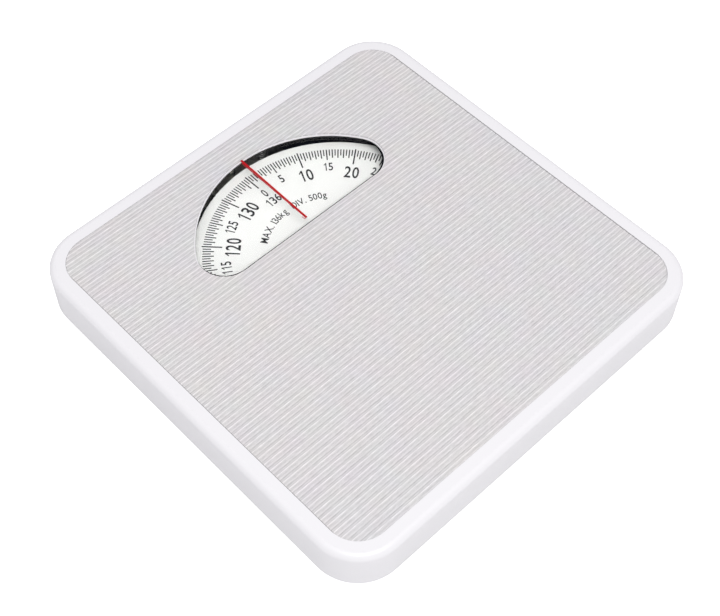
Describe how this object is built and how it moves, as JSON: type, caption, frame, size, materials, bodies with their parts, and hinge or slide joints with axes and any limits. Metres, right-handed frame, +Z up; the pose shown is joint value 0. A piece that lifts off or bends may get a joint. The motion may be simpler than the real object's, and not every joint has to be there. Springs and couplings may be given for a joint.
{
  "type": "mechanical bathroom scale",
  "caption": "Low square platform scale with a ribbed mat and a rotating printed dial under a D-shaped window with a red pointer.",
  "frame": {"origin": "on the floor, under the middle of the cover", "axes": "+Z up, +Y away from the user towards the window side, +X to the user's right"},
  "size_m": [0.27, 0.268, 0.045],
  "materials": {
    "white_enamel": "gloss white stove enamel on pressed steel",
    "mat_vinyl": "light grey soft vinyl, embossed with fine ribs",
    "lens_clear": "clear moulded plastic window",
    "seal_foam": "black foam",
    "pointer_red": "signal red plastic",
    "dial_white": "white printed disc",
    "black_ecoat": "black dip-coated steel",
    "zinc_steel": "zinc plated pressed steel",
    "spring_steel": "drawn spring wire",
    "brass": "turned brass",
    "rubber_foot": "black moulded rubber",
    "knob_black": "black moulded plastic with fine flutes",
    "nylon": "natural nylon"
  },
  "bodies": {
    "base": {"base_tray": "black_ecoat", "bracket_rivets": "zinc_steel", "crank_bracket": "zinc_steel", "crank_bracket_rivets": "zinc_steel", "crank_pivot_pin": "spring_steel", "crank_return_spring": "spring_steel", "dial_bridge": "zinc_steel", "dial_bridge_screws": "zinc_steel", "dial_bush": "nylon", "foot_front_left": "rubber_foot", "foot_front_right": "rubber_foot", "foot_rear_left": "rubber_foot", "foot_rear_right": "rubber_foot", "fulcrum_bracket_front_left": "zinc_steel", "fulcrum_bracket_front_right": "zinc_steel", "fulcrum_bracket_rear_left": "zinc_steel", "fulcrum_bracket_rear_right": "zinc_steel", "hold_down_springs": "spring_steel", "main_spring_left": "spring_steel", "main_spring_right": "spring_steel", "rack_guide": "nylon", "screw_bush": "brass", "spring_frame": "zinc_steel", "spring_frame_screws": "zinc_steel"},
    "platform": {"lens_seal": "seal_foam", "load_post_front_left": "zinc_steel", "load_post_front_right": "zinc_steel", "load_post_rear_left": "zinc_steel", "load_post_rear_right": "zinc_steel", "platform_cover": "white_enamel", "platform_mat": "mat_vinyl", "pointer": "pointer_red", "window_lens": "lens_clear"},
    "long_lever_left": {"long_lever_left": "zinc_steel", "long_lever_pins_left": "spring_steel"},
    "long_lever_right": {"long_lever_pins_right": "spring_steel", "long_lever_right": "zinc_steel"},
    "short_lever_left": {"short_lever_left": "zinc_steel", "short_lever_pins_left": "spring_steel"},
    "short_lever_right": {"short_lever_pins_right": "spring_steel", "short_lever_right": "zinc_steel"},
    "weigh_plate": {"calibration_plate": "zinc_steel"},
    "crank": {"bell_crank": "nylon", "crank_drive_pin": "spring_steel"},
    "rack_bar": {"rack": "nylon"},
    "dial": {"dial_disc": "dial_white", "dial_hub": "nylon", "dial_pinion": "brass", "dial_shaft": "spring_steel", "shaft_clip": "spring_steel"},
    "zero_wheel": {"zero_knob": "knob_black", "zero_screw": "zinc_steel"},
    "carrier": {"spring_carrier": "zinc_steel"}
  },
  "joints": [
    {"name": "dial_spin", "type": "hinge", "parent": "base", "child": "dial", "pos_m": [0, 0.0239, 0.0337], "axis": [0, 0, 1], "range_deg": [0, 360], "stiffness_Nm_per_rad": 0.02365, "springref_deg": -4.01},
    {"name": "platform_drop", "type": "slide", "parent": "base", "child": "platform", "axis": [0, 0, -1], "range_m": [0, 0.0007], "deforming": ["hold_down_springs"]},
    {"name": "long_lever_left_tilt", "type": "hinge", "parent": "base", "child": "long_lever_left", "pos_m": [-0.108, -0.11, 0.0205], "axis": [-0.9227, 0.3855, 0], "range_deg": [0, 1.65]},
    {"name": "long_lever_right_tilt", "type": "hinge", "parent": "base", "child": "long_lever_right", "pos_m": [0.108, -0.11, 0.0205], "axis": [-0.9227, -0.3855, 0], "range_deg": [0, 1.65]},
    {"name": "short_lever_left_tilt", "type": "hinge", "parent": "base", "child": "short_lever_left", "pos_m": [-0.108, 0.104, 0.0205], "axis": [0.8986, 0.4388, 0], "range_deg": [0, 1.87]},
    {"name": "short_lever_right_tilt", "type": "hinge", "parent": "base", "child": "short_lever_right", "pos_m": [0.108, 0.104, 0.0205], "axis": [0.8986, -0.4388, 0], "range_deg": [0, 1.87]},
    {"name": "weigh_plate_drop", "type": "slide", "parent": "base", "child": "weigh_plate", "axis": [0, 0, -1], "range_m": [0, 0.007], "deforming": ["main_spring_left", "main_spring_right"]},
    {"name": "crank_turn", "type": "hinge", "parent": "base", "child": "crank", "pos_m": [0, 0.0925, 0.0124], "axis": [-1, 0, 0], "range_deg": [0, 72.18], "deforming": ["crank_return_spring"]},
    {"name": "rack_slide", "type": "slide", "parent": "base", "child": "rack_bar", "axis": [0, 1, 0], "range_m": [0, 0.01885]},
    {"name": "zero_turn", "type": "hinge", "parent": "base", "child": "zero_wheel", "pos_m": [0, 0.119, 0.011], "axis": [0, 0, 1], "range_deg": [-360, 360]},
    {"name": "carrier_lift", "type": "slide", "parent": "base", "child": "carrier", "axis": [0, 0, 1], "range_m": [-0.0005, 0.0005]}
  ],
  "couplings": [
    {"joint": "platform_drop", "follows": "dial_spin", "m_per_rad": 0.00011141},
    {"joint": "long_lever_left_tilt", "follows": "dial_spin", "ratio": 0.0045694},
    {"joint": "long_lever_right_tilt", "follows": "dial_spin", "ratio": 0.0045694},
    {"joint": "short_lever_left_tilt", "follows": "dial_spin", "ratio": 0.0052027},
    {"joint": "short_lever_right_tilt", "follows": "dial_spin", "ratio": 0.0052027},
    {"joint": "weigh_plate_drop", "follows": "dial_spin", "m_per_rad": 0.0011141},
    {"joint": "crank_turn", "follows": "dial_spin", "ratio": 0.2005},
    {"joint": "rack_slide", "follows": "dial_spin", "m_per_rad": 0.003},
    {"joint": "zero_turn", "follows": "carrier_lift", "rad_per_m": 12566}
  ]
}
